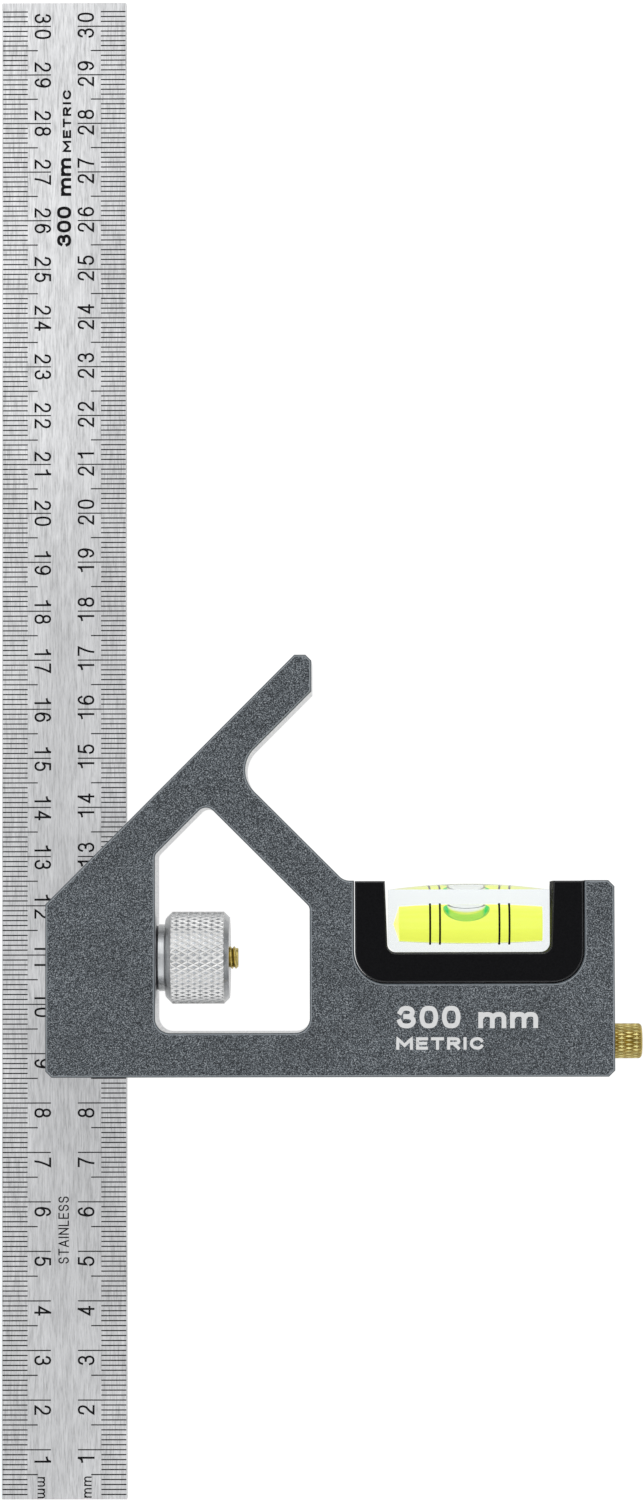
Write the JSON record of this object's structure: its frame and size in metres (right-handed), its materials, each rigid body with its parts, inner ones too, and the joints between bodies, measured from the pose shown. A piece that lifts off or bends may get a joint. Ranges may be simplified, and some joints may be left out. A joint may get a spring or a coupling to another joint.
{
  "type": "combination square",
  "caption": "Combination square: a graduated steel rule slides in a coated stock with 90 and 45 degree faces, a thumb-nut lock, a spirit level and a stowed scriber.",
  "frame": {"origin": "under the middle of the whole tool, on the back face of the stock that the tool lies on", "axes": "+Y along the rule, towards its higher numbers; +X from the rule along the stock, towards the scriber; +Z out of the front face"},
  "size_m": [0.1298, 0.3048, 0.019],
  "materials": {
    "coated_stock": "dark grey speckled coating over milled aluminium",
    "rule_steel": "brushed along its length, black etched scale",
    "lock_brass": "turned",
    "dark_steel": "blackened",
    "nut_aluminium": "satin, knurled barrel",
    "black_plastic": "fine moulded texture",
    "clear_acrylic": "polished clear acrylic",
    "level_liquid": "yellow-green level liquid",
    "ring_black": "black",
    "scriber_brass": "turned, knurled head",
    "needle_steel": "ground"
  },
  "bodies": {
    "stock": {"stock": "coated_stock", "vial_holder": "black_plastic", "vial_block": "clear_acrylic", "vial_liquid": "level_liquid", "vial_plug": "clear_acrylic", "vial_ring_1": "ring_black", "vial_ring_2": "ring_black", "vial_ring_3": "ring_black", "vial_ring_4": "ring_black", "scriber_bush": "scriber_brass", "lock_washer": "dark_steel", "lock_spring": "dark_steel"},
    "rule": {"rule": "rule_steel"},
    "lock_nut": {"lock_nut": "nut_aluminium"},
    "lock_bolt": {"lock_bolt": "lock_brass"},
    "scriber": {"scriber_head": "scriber_brass", "scriber_needle": "needle_steel"}
  },
  "joints": [
    {"name": "rule_slide", "type": "slide", "parent": "stock", "child": "rule", "axis": [0, 1, 0], "range_m": [-0.19, 0.105]},
    {"name": "nut_turn", "type": "hinge", "parent": "stock", "child": "lock_nut", "pos_m": [-0.025, -0.043, 0.0095], "axis": [1, 0, 0], "range_deg": [0, 360]},
    {"name": "bolt_slide", "type": "slide", "parent": "stock", "child": "lock_bolt", "axis": [-1, 0, 0], "range_m": [0, 0.0008], "deforming": ["lock_spring"]},
    {"name": "scriber_slide", "type": "slide", "parent": "stock", "child": "scriber", "axis": [1, 0, 0], "range_m": [0, 0.06]}
  ],
  "couplings": [
    {"joint": "bolt_slide", "follows": "nut_turn", "m_per_rad": 0.00012732}
  ]
}
